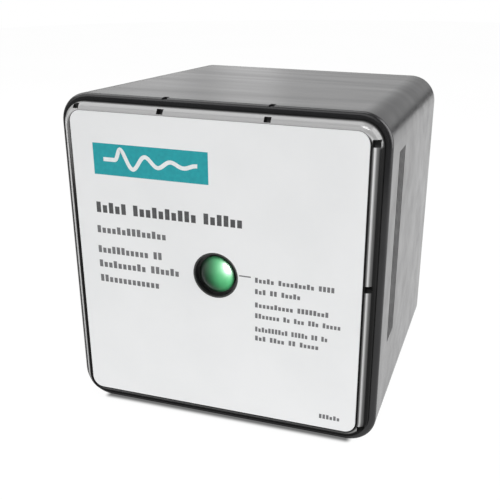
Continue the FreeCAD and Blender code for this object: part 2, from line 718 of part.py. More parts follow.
def filter_capacitor(drop):
    """A boxed film capacitor on two legs."""
    z = MID_HEIGHT - drop
    body = centred_block(CAPACITOR_X, z, 18.0, 8.5, POWER_BOARD_FRONT - 15, POWER_BOARD_FRONT - 0.4)
    body = body.makeFillet(0.6, edges_at_depth(body, POWER_BOARD_FRONT - 15))
    return joined([body] + lead_pins(capacitor_pin_places(drop), POWER_BOARD_FRONT - 1))


def gas_tube():
    depth = POWER_BOARD_FRONT - 5.0
    start = Vector(GAS_TUBE_X - 3, y_at(depth), GAS_TUBE_Z)
    barrel = Part.makeCylinder(4.0, 6.0, start, ALONG_X)
    wire = Part.makeCylinder(PIN_RADIUS, 14.0, Vector(GAS_TUBE_X - 7, y_at(depth), GAS_TUBE_Z), ALONG_X)
    pieces = [barrel, wire] + lead_pins(gas_tube_pin_places(), depth)
    for x, z in gas_tube_pin_places():
        pieces.append(Part.makeSphere(PIN_RADIUS, Vector(x, y_at(depth), z)))
    return joined(pieces)


def phase_barrier():
    """An insulating wall between the varistors of the two lines."""
    return block(-0.8, 0.8, 50, POWER_BOARD_FRONT, MID_HEIGHT + 2, MID_HEIGHT + 40)


LUG_XS = (-28.0, 28.0)
LUG_RISES = (-12.0, 12.0)


def lead_lug(x, z):
    """A turned terminal behind the board for one lead, with a cross hole."""
    post = rod(3.0, x, z, POWER_BOARD_BACK, POWER_BOARD_BACK + 6.4)
    start = Vector(x - 4, y_at(POWER_BOARD_BACK + 3.6), z)
    return post.cut(Part.makeCylinder(1.6, 8.0, start, ALONG_X))


# ---------------------------------------------------------------- the nipple and what clamps it
def lead_nipple():
    """A threaded tube with a hexagonal flange inside the case and a relief groove behind the nut."""
    tube_end = CASE_DEPTH + NIPPLE_PROJECTION
    tube = rod(THREAD_RADIUS, 0, MID_HEIGHT, FLANGE_FRONT + FLANGE_THICKNESS, tube_end)
    tube = tube.makeChamfer(END_CHAMFER, edges_at_depth(tube, tube_end))
    flange = hex_prism(FLANGE_ACROSS_FLATS, FLANGE_FRONT, FLANGE_FRONT + FLANGE_THICKNESS)
    body = joined([tube, flange])
    relief_start = CASE_DEPTH + RELIEF_START
    relief = ring(THREAD_RADIUS + 1, THREAD_RADIUS - RELIEF_DEPTH, 0, MID_HEIGHT,
                  relief_start, relief_start + RELIEF_WIDTH)
    bore = rod(NIPPLE_BORE_RADIUS, 0, MID_HEIGHT, FLANGE_FRONT - 1, tube_end + 1)
    return without(body, [relief, bore])


def nipple_retainer():
    start = CASE_DEPTH - SEAT_RECESS_DEPTH
    return ring(SEAT_RECESS_RADIUS - 0.6, THREAD_RADIUS + SLIP, 0, MID_HEIGHT,
                start, start + RETAINER_THICKNESS)


def sealing_washer():
    start = CASE_DEPTH - SEAT_RECESS_DEPTH + RETAINER_THICKNESS
    return ring(SEAT_RECESS_RADIUS - 0.4, THREAD_RADIUS + SLIP, 0, MID_HEIGHT,
                start, start + SEALING_WASHER_THICKNESS)


def lead_bushing():
    """A rubber plug against the nipple's inner end, with a hole for each of the four leads."""
    front = POWER_BOARD_BACK + 2.4
    plug = rod(12.5, 0, MID_HEIGHT, front, FLANGE_FRONT)
    holes = []
    for quarter in range(4):
        angle = math.radians(45 + 90 * quarter)
        x = 5.6 * math.cos(angle)
        z = MID_HEIGHT + 5.6 * math.sin(angle)
        holes.append(rod(2.3, x, z, front - 1, FLANGE_FRONT + 1))
    return without(plug, holes)


def clamp_washer():
    start = CASE_DEPTH + CLAMP_WASHER_START
    return ring(CLAMP_WASHER_RADIUS, THREAD_RADIUS + THREAD_GAP, 0, MID_HEIGHT,
                start, start + CLAMP_WASHER_THICKNESS)


def locknut():
    """A conduit locknut: a ring with square lugs round its edge, chamfered at both ends of its bore."""
    start = CASE_DEPTH + CLAMP_WASHER_START + CLAMP_WASHER_THICKNESS + THREAD_GAP
    end = start + NUT_THICKNESS
    blank = rod(NUT_RADIUS, 0, MID_HEIGHT, start, end)
    lug_face = rod(NUT_LUG_RADIUS, 0, MID_HEIGHT, start, end)
    lugs = []
    for index in range(NUT_LUGS):
        bar = block(NUT_RADIUS - 2, NUT_LUG_RADIUS + 1, start, end,
                    MID_HEIGHT - NUT_LUG_WIDTH / 2, MID_HEIGHT + NUT_LUG_WIDTH / 2)
        bar.rotate(Vector(0, 0, MID_HEIGHT), ALONG_Y, 360.0 / NUT_LUGS * (index + 0.5))
        lugs.append(bar.common(lug_face))
    nut = joined([blank] + lugs)
    nut = nut.cut(rod(THREAD_RADIUS + THREAD_GAP, 0, MID_HEIGHT, start - 1, end + 1))
    mouths = [edge for edge in nut.Edges if edge.BoundBox.YLength < 1e-6
              and abs(edge.BoundBox.XLength - 2 * (THREAD_RADIUS + THREAD_GAP)) < 0.01]
    return nut.makeChamfer(0.6, mouths)


def sub_parts():
    """Every node's name and shape."""
    parts = {
        "rear_housing": rear_housing(),
        "front_cover": front_cover(),
        "cover_gasket": cover_gasket(),
        "front_label": front_label(),
        "lens_well": lens_well(),
        "indicator_lens": indicator_lens(),
        "lens_seal": lens_seal(),
        "lens_retainer": lens_retainer(),
        "status_led": status_led(),
        "led_spacer": led_spacer(),
        "indicator_board": indicator_board(),
        "indicator_resistors": indicator_resistors(),
        "bridge_rectifier": bridge_rectifier(),
        "smoothing_capacitor": smoothing_capacitor(),
        "driver_chip": driver_chip(),
        "indicator_connector": indicator_connector(),
        "indicator_board_screws": indicator_board_screws(),
        "power_board": power_board(),
        "power_board_screws": power_board_screws(),
        "power_connector": power_connector(),
        "fuse_clips": fuse_clips(),
        "gas_tube": gas_tube(),
        "phase_barrier": phase_barrier(),
        "lead_nipple": lead_nipple(),
        "nipple_retainer": nipple_retainer(),
        "sealing_washer": sealing_washer(),
        "lead_bushing": lead_bushing(),
        "clamp_washer": clamp_washer(),
        "locknut": locknut(),
    }
    for index, offset in enumerate(HARNESS_OFFSETS, 1):
        parts[f"harness_wire_{index}"] = harness_wire(offset)
    for index, x in enumerate(VARISTOR_XS, 1):
        parts[f"varistor_{index}"] = varistor(x)
    for index, x in enumerate(CUTOFF_XS, 1):
        parts[f"thermal_cutoff_{index}"] = thermal_cutoff(x)
    for index, x in enumerate((-FUSE_X, FUSE_X), 1):
        parts[f"line_fuse_{index}"] = line_fuse(x)
    for index, drop in enumerate(CAPACITOR_DROPS, 1):
        parts[f"filter_capacitor_{index}"] = filter_capacitor(drop)
    for index, x in enumerate(DROPPER_XS, 1):
        parts[f"dropper_resistor_{index}"] = dropper_resistor(x)
    lug_places = [(x, MID_HEIGHT + rise) for x in LUG_XS for rise in LUG_RISES]
    for index, (x, z) in enumerate(lug_places, 1):
        parts[f"lead_lug_{index}"] = lead_lug(x, z)
    return parts


def main():
    os.makedirs("parts", exist_ok=True)
    for name, shape in sub_parts().items():
        shape.exportStep(f"parts/{name}.step")
        print(name, "valid" if shape.isValid() else "NOT VALID", len(shape.Solids), "solids",
              round(shape.Volume, 2), "mm3")
    per_radian = THREAD_PITCH / (2 * math.pi)
    print("front plane y", FRONT_PLANE_Y, "back face y", BACK_FACE_Y, "nut travel per radian", per_radian)


main()
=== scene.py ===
import math
import random

import bmesh
import bpy
from mathutils import Matrix, Vector


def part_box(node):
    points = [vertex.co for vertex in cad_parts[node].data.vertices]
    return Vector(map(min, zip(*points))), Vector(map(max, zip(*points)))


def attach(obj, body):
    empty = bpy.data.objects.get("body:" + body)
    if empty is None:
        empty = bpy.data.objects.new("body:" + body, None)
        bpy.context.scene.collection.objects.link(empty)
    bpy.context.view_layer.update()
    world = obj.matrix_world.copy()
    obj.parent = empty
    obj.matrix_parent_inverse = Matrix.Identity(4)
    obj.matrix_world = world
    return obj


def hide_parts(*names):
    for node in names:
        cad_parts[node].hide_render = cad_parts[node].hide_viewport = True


# Looks of the whole house surge protector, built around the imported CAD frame.
# Everything is in metres in the row frame: +X right, +Y into the wall, +Z up.

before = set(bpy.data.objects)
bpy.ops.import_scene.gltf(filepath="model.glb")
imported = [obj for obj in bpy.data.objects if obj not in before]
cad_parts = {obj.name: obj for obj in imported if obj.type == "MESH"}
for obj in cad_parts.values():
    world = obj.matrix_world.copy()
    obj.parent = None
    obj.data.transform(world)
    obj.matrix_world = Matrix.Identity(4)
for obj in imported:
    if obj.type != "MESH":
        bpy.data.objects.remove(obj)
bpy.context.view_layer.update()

MM = 0.001
CASE = "case"


# ---------------------------------------------------------------- camera
CAMERA_POSITION = Vector((0.08251, -0.24882, 0.13345))
CAMERA_AZIMUTH = math.radians(16.98)
CAMERA_ELEVATION = math.radians(21.65)
CAMERA_ROLL = math.radians(1.06)
LENS_LENGTH = 53.84
SENSOR_WIDTH = 36
NEAREST_SEEN = 10 * MM
SHIFT_X = -0.0882
SHIFT_Y = 0.047


def make_camera():
    """The viewing angle: from the right and above, with a slight roll and a small lens shift."""
    back = Vector((math.sin(CAMERA_AZIMUTH) * math.cos(CAMERA_ELEVATION),
                   -math.cos(CAMERA_AZIMUTH) * math.cos(CAMERA_ELEVATION),
                   math.sin(CAMERA_ELEVATION)))
    level_right = (-back).cross(Vector((0, 0, 1))).normalized()
    level_up = level_right.cross(-back)
    right = math.cos(CAMERA_ROLL) * level_right + math.sin(CAMERA_ROLL) * level_up
    up = math.cos(CAMERA_ROLL) * level_up - math.sin(CAMERA_ROLL) * level_right
    data = bpy.data.cameras.new("camera")
    data.lens = LENS_LENGTH
    data.sensor_width = SENSOR_WIDTH
    data.shift_x = SHIFT_X
    data.shift_y = SHIFT_Y
    data.clip_start = NEAREST_SEEN
    camera = bpy.data.objects.new("camera", data)
    bpy.context.scene.collection.objects.link(camera)
    turned = Matrix((right, up, back)).transposed().to_4x4()
    camera.matrix_world = Matrix.Translation(CAMERA_POSITION) @ turned
    bpy.context.scene.camera = camera


# ---------------------------------------------------------------- node tools
def add_range(tree, value, from_low, from_high, to_low=0.0, to_high=1.0):
    """Maps a value from one range to another, and holds it at both ends."""
    node = tree.nodes.new("ShaderNodeMapRange")
    node.inputs["From Min"].default_value = from_low
    node.inputs["From Max"].default_value = from_high
    node.inputs["To Min"].default_value = to_low
    node.inputs["To Max"].default_value = to_high
    tree.links.new(value, node.inputs["Value"])
    return node.outputs["Result"]


def add_ramp(tree, factor, stops):
    """A colour ramp through (position, colour) stops."""
    node = tree.nodes.new("ShaderNodeValToRGB")
    elements = node.color_ramp.elements
    while len(elements) < len(stops):
        elements.new(0.5)
    for element, (position, colour) in zip(elements, stops):
        element.position = position
        element.color = (*colour, 1)
    tree.links.new(factor, node.inputs["Fac"])
    return node.outputs["Color"]


def add_mix(tree, first, second, blend_type="MIX"):
    """Joins two colours. The caller sets or links the factor."""
    node = tree.nodes.new("ShaderNodeMix")
    node.data_type = "RGBA"
    node.blend_type = blend_type
    tree.links.new(first, node.inputs["A"])
    tree.links.new(second, node.inputs["B"])
    return node


# ---------------------------------------------------------------- material tools
class Surface:
    """A procedural material: constants go on the shader's sockets, noise drives what varies."""

    def __init__(self, name, roughness=0.4, metallic=0.0, ior=1.5):
        self.material = bpy.data.materials.new(name)
        self.material.use_nodes = True
        self.tree = self.material.node_tree
        self.nodes = self.tree.nodes
        self.links = self.tree.links
        self.shader = self.nodes["Principled BSDF"]
        self.set("Roughness", roughness)
        self.set("Metallic", metallic)
        self.set("IOR", ior)
        self.place = self.nodes.new("ShaderNodeTexCoord").outputs["Object"]
        self.normal = None

    def set(self, socket, value):
        self.shader.inputs[socket].default_value = value

    def noise(self, scale, detail=3.0, stretch=(1, 1, 1)):
        """Noise in metres: scale 1000 has features about a millimetre across."""
        mapping = self.nodes.new("ShaderNodeMapping")
        mapping.inputs["Scale"].default_value = stretch
        self.links.new(self.place, mapping.inputs["Vector"])
        texture = self.nodes.new("ShaderNodeTexNoise")
        texture.inputs["Scale"].default_value = scale
        texture.inputs["Detail"].default_value = detail
        self.links.new(mapping.outputs["Vector"], texture.inputs["Vector"])
        return texture.outputs["Fac"]

    def ramp(self, factor, stops):
        """A colour that goes through (position, colour) stops as the factor goes from 0 to 1."""
        return add_ramp(self.tree, factor, stops)

    def drift(self, dark, light, scale, detail=3.0, stretch=(1, 1, 1)):
        """A colour that drifts between two close tones."""
        return self.ramp(self.noise(scale, detail, stretch), [(0.35, dark), (0.65, light)])

    def slope(self, axis, start, end):
        """0 to 1 as the surface's own normal goes from start to end along that axis."""
        facing = self.nodes.new("ShaderNodeSeparateXYZ")
        self.links.new(self.nodes.new("ShaderNodeTexCoord").outputs["Normal"], facing.inputs["Vector"])
        return add_range(self.tree, facing.outputs[axis], start, end)

    def blend(self, factor, first, second):
        """The first colour where the factor is 0, and the second where it is 1."""
        node = add_mix(self.tree, first, second)
        self.links.new(factor, node.inputs["Factor"])
        return node.outputs["Result"]

    def colour(self, dark, light, scale, detail=3.0, stretch=(1, 1, 1)):
        """The base colour drifts between two close tones."""
        return self.paint(self.drift(dark, light, scale, detail, stretch))

    def paint(self, colour):
        """Gives the shader its base colour."""
        self.links.new(colour, self.shader.inputs["Base Color"])
        return self

    def gloss(self, low, high, scale, stretch=(1, 1, 1)):
        """The roughness drifts between two values."""
        roughness = add_range(self.tree, self.noise(scale, 2.0, stretch), 0.3, 0.7, low, high)
        self.links.new(roughness, self.shader.inputs["Roughness"])
        return self

    def bump(self, height, depth, strength=1.0):
        """Adds relief of that depth in metres on top of any relief already there."""
        node = self.nodes.new("ShaderNodeBump")
        node.inputs["Distance"].default_value = depth
        node.inputs["Strength"].default_value = strength
        self.links.new(height, node.inputs["Height"])
        if self.normal is not None:
            self.links.new(self.normal, node.inputs["Normal"])
        self.normal = node.outputs["Normal"]
        self.links.new(self.normal, self.shader.inputs["Normal"])
        return self

    def grain(self, scale, depth, detail=2.0, stretch=(1, 1, 1)):
        return self.bump(self.noise(scale, detail, stretch), depth)


def grey(level):
    return (level, level, level)


# ---------------------------------------------------------------- materials of the case
FLOW_MARKS = (0.12, 1, 1)


def housing_plastic():
    """Black polycarbonate with a moulded gloss: faint flow marks and a fine orange peel."""
    surface = Surface("housing_plastic", ior=1.5)
    surface.colour((0.007, 0.007, 0.008), (0.012, 0.012, 0.013), 60)
    surface.gloss(0.20, 0.27, 90, FLOW_MARKS)
    surface.grain(500, 0.000005, stretch=FLOW_MARKS)
    return surface.material


# painted sheen: the pale greys below are painted into the cover's colour in place of reflections and
# highlights on its rounded rim; RIM_DARK is the plastic's own black
RIM_DARK = grey(0.012)
RIM_PAINTED_SHEEN_MID = grey(0.160)
RIM_PAINTED_SHEEN_PALE = grey(0.260)
RIM_PAINTED_HIGHLIGHT = grey(0.700)
RIM_PAINTED_SHEEN_LIGHT = grey(0.620)
# painted sheen on the rim, one band each for the right, left and top sides as light falls on them, by how far
# the rim faces forward: 0 on the edge of the cover, 1 on its flat front
RIGHT_RIM_PAINTED_SHEEN = [(0.72, RIM_DARK), (0.90, RIM_PAINTED_SHEEN_MID), (0.975, RIM_PAINTED_HIGHLIGHT), (0.998, RIM_DARK)]
LEFT_RIM_PAINTED_SHEEN = [(0.15, RIM_DARK), (0.30, RIM_PAINTED_SHEEN_LIGHT), (0.87, RIM_PAINTED_SHEEN_LIGHT), (0.94, RIM_DARK)]
TOP_RIM_PAINTED_SHEEN = [(0.20, RIM_DARK), (0.50, RIM_PAINTED_SHEEN_MID), (0.97, RIM_PAINTED_SHEEN_PALE), (0.998, RIM_DARK)]


def cover_plastic():
    """The cover's smoky plastic: black where it is flat, with a painted sheen in its rounded rim that stands
    in for reflections and highlights, different on each side and left off the downward-facing rim.
    """
    surface = Surface("cover_plastic", ior=1.5)
    forward = surface.slope("Y", 0, -1)
    right_rim_sheen = surface.ramp(forward, RIGHT_RIM_PAINTED_SHEEN)
    left_rim_sheen = surface.ramp(forward, LEFT_RIM_PAINTED_SHEEN)
    top_rim_sheen = surface.ramp(forward, TOP_RIM_PAINTED_SHEEN)
    smoke = surface.drift(grey(0.028), grey(0.036), 70)
    side_rim_sheen = surface.blend(surface.slope("X", -0.1, 0.1), left_rim_sheen, right_rim_sheen)
    upper = surface.blend(surface.slope("Z", 0.05, 0.25), side_rim_sheen, top_rim_sheen)
    # the painted sheen goes on the upward and sideways rim only; the downward-facing rim keeps the plain
    # smoky tone, so it reads as shaded
    surface.paint(surface.blend(surface.slope("Z", -0.30, -0.10), smoke, upper))
    surface.gloss(0.12, 0.18, 110)
    surface.grain(900, 0.000003)
    return surface.material


def label_face():
    """White polyester film with a satin overlaminate."""
    surface = Surface("label_face", ior=1.47)
    surface.colour((0.800, 0.808, 0.812), (0.830, 0.836, 0.840), 45, 4.0)
    surface.gloss(0.42, 0.52, 140)
    surface.grain(2600, 0.0000025)
    return surface.material


def well_plastic():
    """Black plastic of the cup round the light."""
    surface = Surface("well_plastic", ior=1.5)
    surface.colour((0.022, 0.023, 0.022), (0.034, 0.035, 0.034), 300)
    surface.gloss(0.28, 0.38, 700)
    surface.grain(4000, 0.000003)
    return surface.material


def green_lens():
    """Green polycarbonate over an unlit diode, with painted shading: darker on its left and lighter on its
    right, as light from the right would fall on it.
    """
    surface = Surface("green_lens", ior=1.58)
    # painted shade and painted light: the two greens are shaded and lit tones of the same lens, blended by
    # which way its surface faces
    deep = surface.drift((0.002, 0.018, 0.007), (0.003, 0.022, 0.009), 260)
    bright = surface.drift((0.012, 0.092, 0.033), (0.015, 0.106, 0.039), 260)
    surface.paint(surface.blend(surface.slope("X", -0.50, 0.25), deep, bright))
    surface.gloss(0.36, 0.42, 500)
    surface.grain(1500, 0.000003)
    surface.set("Coat Weight", 1.0)
    surface.set("Coat Roughness", 0.46)
    return surface.material


def green_led():
    surface = Surface("green_led", ior=1.55)
    surface.colour((0.020, 0.300, 0.090), (0.040, 0.420, 0.150), 500)
    surface.gloss(0.20, 0.32, 800)
    return surface.material


def black_rubber():
    surface = Surface("black_rubber", ior=1.5)
    surface.colour((0.012, 0.012, 0.012), (0.024, 0.024, 0.024), 500)
    surface.gloss(0.62, 0.80, 600)
    surface.grain(3500, 0.00002)
    return surface.material


# ---------------------------------------------------------------- materials of the metal parts
def spring_steel():
    surface = Surface("spring_steel", metallic=1.0)
    surface.colour((0.34, 0.34, 0.33), (0.46, 0.46, 0.45), 400)
    surface.gloss(0.28, 0.42, 500)
    surface.grain(2500, 0.000006)
    return surface.material


def zinc_steel():
    """Zinc-plated steel: bright, with a faint blue and yellow bloom and fine tumbling marks."""
    surface = Surface("zinc_steel", metallic=1.0)
    surface.colour((0.40, 0.41, 0.43), (0.52, 0.51, 0.49), 130, 4.0)
    surface.gloss(0.24, 0.42, 260)
    surface.grain(1400, 0.000012, 4.0)
    return surface.material


def zinc_casting():
    """Die-cast zinc: duller than the plated steel, with the skin of a casting."""
    surface = Surface("zinc_casting", metallic=1.0)
    surface.colour((0.34, 0.35, 0.36), (0.46, 0.46, 0.46), 160, 4.0)
    surface.gloss(0.34, 0.52, 300)
    surface.grain(900, 0.00002, 4.0)
    return surface.material


def tinned_brass():
    surface = Surface("tinned_brass", metallic=1.0)
    surface.colour((0.60, 0.58, 0.52), (0.74, 0.71, 0.62), 300)
    surface.gloss(0.26, 0.40, 500)
    surface.grain(2200, 0.000008)
    return surface.material


def cutoff_metal():
    surface = Surface("cutoff_metal", metallic=1.0)
    surface.colour((0.58, 0.56, 0.50), (0.70, 0.67, 0.60), 350)
    surface.gloss(0.22, 0.36, 600, (1, 1, 0.1))
    return surface.material


# ---------------------------------------------------------------- materials of the electrical parts
def nylon():
    surface = Surface("nylon", ior=1.53)
    surface.colour((0.66, 0.64, 0.58), (0.74, 0.72, 0.67), 300)
    surface.gloss(0.38, 0.52, 500)
    surface.grain(3000, 0.000006)
    return surface.material


def circuit_board():
    """Green solder mask, darker where the copper under it is etched away."""
    surface = Surface("circuit_board", ior=1.52)
    copper = surface.nodes.new("ShaderNodeTexBrick")
    copper.inputs["Scale"].default_value = 60
    copper.inputs["Mortar Size"].default_value = 0.02
    copper.inputs["Color1"].default_value = (0.018, 0.150, 0.050, 1)
    copper.inputs["Color2"].default_value = (0.014, 0.120, 0.042, 1)
    copper.inputs["Mortar"].default_value = (0.010, 0.075, 0.028, 1)
    turn = surface.nodes.new("ShaderNodeMapping")
    turn.inputs["Rotation"].default_value = (math.radians(90), 0, 0)
    surface.links.new(surface.place, turn.inputs["Vector"])
    surface.links.new(turn.outputs["Vector"], copper.inputs["Vector"])
    surface.links.new(copper.outputs["Color"], surface.shader.inputs["Base Color"])
    surface.gloss(0.22, 0.34, 400)
    surface.bump(copper.outputs["Fac"], 0.00003)
    return surface.material


def component_black():
    surface = Surface("component_black", ior=1.5)
    surface.colour((0.016, 0.016, 0.017), (0.028, 0.028, 0.029), 600)
    surface.gloss(0.42, 0.58, 900)
    surface.grain(5000, 0.000010)
    return surface.material


def capacitor_sleeve():
    surface = Surface("capacitor_sleeve", ior=1.5)
    surface.colour((0.010, 0.020, 0.060), (0.016, 0.030, 0.085), 250)
    surface.gloss(0.24, 0.36, 400)
    return surface.material


def white_ceramic():
    surface = Surface("white_ceramic", ior=1.6)
    surface.colour((0.70, 0.69, 0.66), (0.79, 0.78, 0.75), 400)
    surface.gloss(0.30, 0.48, 600)
    surface.grain(3000, 0.000010)
    return surface.material


def fish_paper():
    surface = Surface("fish_paper", ior=1.45)
    surface.colour((0.120, 0.150, 0.135), (0.165, 0.200, 0.180), 900, 5.0, (1, 4, 1))
    surface.gloss(0.55, 0.72, 800)
    surface.grain(2500, 0.00002, 5.0, (1, 4, 1))
    return surface.material


def varistor_epoxy():
    """Dipped blue epoxy with the slight waviness of a dipped coat."""
    surface = Surface("varistor_epoxy", ior=1.55)
    surface.colour((0.012, 0.060, 0.230), (0.020, 0.085, 0.300), 220)
    surface.gloss(0.20, 0.34, 260)
    surface.grain(260, 0.00006)
    return surface.material


def capacitor_box():
    surface = Surface("capacitor_box", ior=1.5)
    surface.colour((0.62, 0.42, 0.060), (0.70, 0.48, 0.085), 250)
    surface.gloss(0.34, 0.46, 400)
    surface.grain(3500, 0.000008)
    return surface.material


def resistor_enamel():
    surface = Surface("resistor_enamel", ior=1.55)
    surface.colour((0.110, 0.170, 0.130), (0.150, 0.220, 0.170), 300)
    surface.gloss(0.36, 0.52, 400)
    surface.grain(500, 0.00003)
    return surface.material


def wire_sleeve(name, dark, light):
    surface = Surface(name, ior=1.5)
    surface.colour(dark, light, 400)
    surface.gloss(0.32, 0.46, 600)
    surface.grain(2200, 0.000006)
    return surface.material


def wire_red():
    return wire_sleeve("wire_red", (0.42, 0.016, 0.012), (0.50, 0.024, 0.018))


def wire_black():
    return wire_sleeve("wire_black", (0.014, 0.014, 0.014), (0.024, 0.024, 0.024))


def wire_white():
    return wire_sleeve("wire_white", (0.68, 0.68, 0.66), (0.76, 0.76, 0.74))


def ink(name, dark, light):
    """Screen ink on the label: close to flat, with a slight unevenness of cover."""
    surface = Surface(name, ior=1.47)
    surface.colour(dark, light, 900, 4.0)
    surface.gloss(0.40, 0.54, 400)
    return surface.material


SLOT_MATERIALS = [
    housing_plastic, cover_plastic, label_face, well_plastic, green_lens, green_led, black_rubber,
    spring_steel, nylon, circuit_board, component_black, capacitor_sleeve, zinc_steel, tinned_brass,
    white_ceramic, fish_paper, zinc_casting, varistor_epoxy, cutoff_metal, capacitor_box,
    resistor_enamel, wire_red, wire_black, wire_white,
]
materials = {make.__name__: make() for make in SLOT_MATERIALS}


def dress_cad_nodes():
    """Each CAD node's plain material gives way to the procedural one of the same name."""
    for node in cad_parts.values():
        for material_slot in node.material_slots:
            material_slot.material = materials[material_slot.material.name.split(".")[0]]


# ---------------------------------------------------------------- mesh tools
SMOOTH_BELOW = math.radians(35)


def new_piece(name, mesh_builder, material, body):
    """Turns a bmesh into a piece that rides on a body."""
    bmesh.ops.recalc_face_normals(mesh_builder, faces=mesh_builder.faces)
    mesh = bpy.data.meshes.new(name)
    mesh_builder.to_mesh(mesh)
    mesh_builder.free()
    mesh.shade_smooth()
    mesh.set_sharp_from_angle(angle=SMOOTH_BELOW)
    mesh.materials.append(material)
    piece = bpy.data.objects.new(name, mesh)
    bpy.context.scene.collection.objects.link(piece)
    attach(piece, body)
    return piece


def loops_to_mesh(loops):
    """A closed skin: faces between neighbouring loops of equal length, the last joined to the first."""
    mesh_builder = bmesh.new()
    rings = [[mesh_builder.verts.new(point) for point in loop] for loop in loops]
    for near, far in zip(rings, rings[1:] + rings[:1]):
        count = len(near)
        for i in range(count):
            following = (i + 1) % count
            mesh_builder.faces.new((near[i], near[following], far[following], far[i]))
    return mesh_builder


# ---------------------------------------------------------------- places read from the CAD boxes
def centre_of(node):
    low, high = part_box(node)
    return (low + high) / 2


nipple_axis = centre_of("lead_nipple")
label_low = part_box("front_label")[0]

STEPS_ROUND = 96
ROUND_ANGLES = [2 * math.pi * i / STEPS_ROUND for i in range(STEPS_ROUND)]


def around(axis, radius, angle, y):
    """A point at that radius and angle round a line along Y."""
    return (axis.x + radius * math.cos(angle), y, axis.z + radius * math.sin(angle))


def lathe(axis, profile):
    """A closed ring: the (radius, y) profile turned about a line along Y."""
    turns = [[around(axis, radius, angle, y) for radius, y in profile] for angle in ROUND_ANGLES]
    return loops_to_mesh(turns)


# ---------------------------------------------------------------- printed label
INK_THICKNESS = 0.01 * MM
LABEL_SEED = 7

# left, right, low and high edge, in millimetres
TEAL_BLOCK = (-38.1, -1.5, 78.0, 87.4)
POINTER = (7.5, 11.2, 51.3, 51.7)

# the pulse trace: its line width in millimetres, the rest as shares of the block's width or height
PULSE_LINE_WIDTH = 1.2
PULSE_SWING = 0.42
PULSE_START = 0.12
PULSE_RISE = 0.07
PULSE_PERIOD = 0.27
PULSE_DECAY = 2.6
PULSE_MARGIN = 0.09
PULSE_STEPS = 160

# the small print: gaps as shares of a letter, low letters as a share of the tall ones
LETTER_GAP = 0.30
WORD_GAP = 0.9
LOW_LETTER = 0.72
TALL_LETTERS = 0.3

# x of the start, z of the middle, height and length in millimetres, then the letters in each word
TITLE_LINE = (-38.4, 67.8, 3.3, 47.6, (5, 10, 6))
LEFT_LINES = [
    (-38.7, 60.8, 2.3, 23.4, (14,)),
    (-38.9, 54.3, 2.3, 21.9, (11, 2)),
    (-38.9, 49.6, 2.3, 27.4, (10, 6)),
    (-38.9, 44.7, 2.3, 20.5, (13,)),
]
RIGHT_LINES = [
    (12.5, 50.8, 1.6, 24.3, (5, 9, 4)),
    (12.5, 47.2, 1.6, 14.2, (3, 2, 5)),
    (12.5, 42.9, 1.6, 22.8, (10, 8)),
    (12.5, 39.4, 1.6, 26.5, (7, 2, 3, 3, 5)),
    (12.5, 35.0, 1.6, 22.7, (10, 5, 2, 2)),
    (12.5, 32.0, 1.6, 20.1, (3, 4, 2, 5)),
]
CORNER_MARK = (33.2, 8.9, 1.5, 6.7, (6,))


def add_plate(mesh_builder, outline, front, back):
    """A flat plate between two depths, from an outline of (x, z) points in metres."""
    near = [mesh_builder.verts.new((x, front, z)) for x, z in outline]
    far = [mesh_builder.verts.new((x, back, z)) for x, z in outline]
    mesh_builder.faces.new(near)
    mesh_builder.faces.new(far[::-1])
    count = len(outline)
    for i in range(count):
        following = (i + 1) % count
        mesh_builder.faces.new((near[following], near[i], far[i], far[following]))


def rectangle(left, right, low, high):
    """The outline of a rectangle given in millimetres."""
    corners = ((left, low), (right, low), (right, high), (left, high))
    return [(x * MM, z * MM) for x, z in corners]


def add_word_line(mesh_builder, line, front, back, chance):
    """Plain blocks that stand for a line of small print, with no letters in it."""
    start, middle, height, length, words = line
    letters = sum(words)
    pitch = length / (letters + WORD_GAP * (len(words) - 1))
    x = start
    base = middle - height / 2
    for word in words:
        for position in range(word):
            tall = position == 0 or chance.random() < TALL_LETTERS
            top = base + height * (1.0 if tall else LOW_LETTER)
            right = x + pitch * (1 - LETTER_GAP)
            add_plate(mesh_builder, rectangle(x, right, base, top), front, back)
            x += pitch
        x += pitch * WORD_GAP


def make_label_print():
    """Ink on the label: a teal block with a pulse trace, and blocks that stand for the lines of print."""
    face = label_low.y
    front = face - INK_THICKNESS
    chance = random.Random(LABEL_SEED)

    teal = bmesh.new()
    add_plate(teal, rectangle(*TEAL_BLOCK), front, face)
    new_piece("label_teal_block", teal, ink("teal_ink", (0.005, 0.305, 0.345), (0.007, 0.345, 0.385)),
              CASE)

    dark = bmesh.new()
    add_word_line(dark, TITLE_LINE, front, face, chance)
    new_piece("label_title", dark, ink("dark_ink", (0.060, 0.060, 0.062), (0.085, 0.085, 0.088)),
              CASE)

    small = bmesh.new()
    for line in LEFT_LINES + RIGHT_LINES + [CORNER_MARK]:
        add_word_line(small, line, front, face, chance)
    add_plate(small, rectangle(*POINTER), front, face)
    new_piece("label_small_print", small, ink("grey_ink", (0.130, 0.130, 0.135), (0.165, 0.165, 0.170)),
              CASE)

    pulse = bmesh.new()
    add_pulse_trace(pulse, front - INK_THICKNESS, front)
    new_piece("label_pulse_trace", pulse, ink("white_ink", (0.760, 0.790, 0.790), (0.820, 0.840, 0.840)),
              CASE)


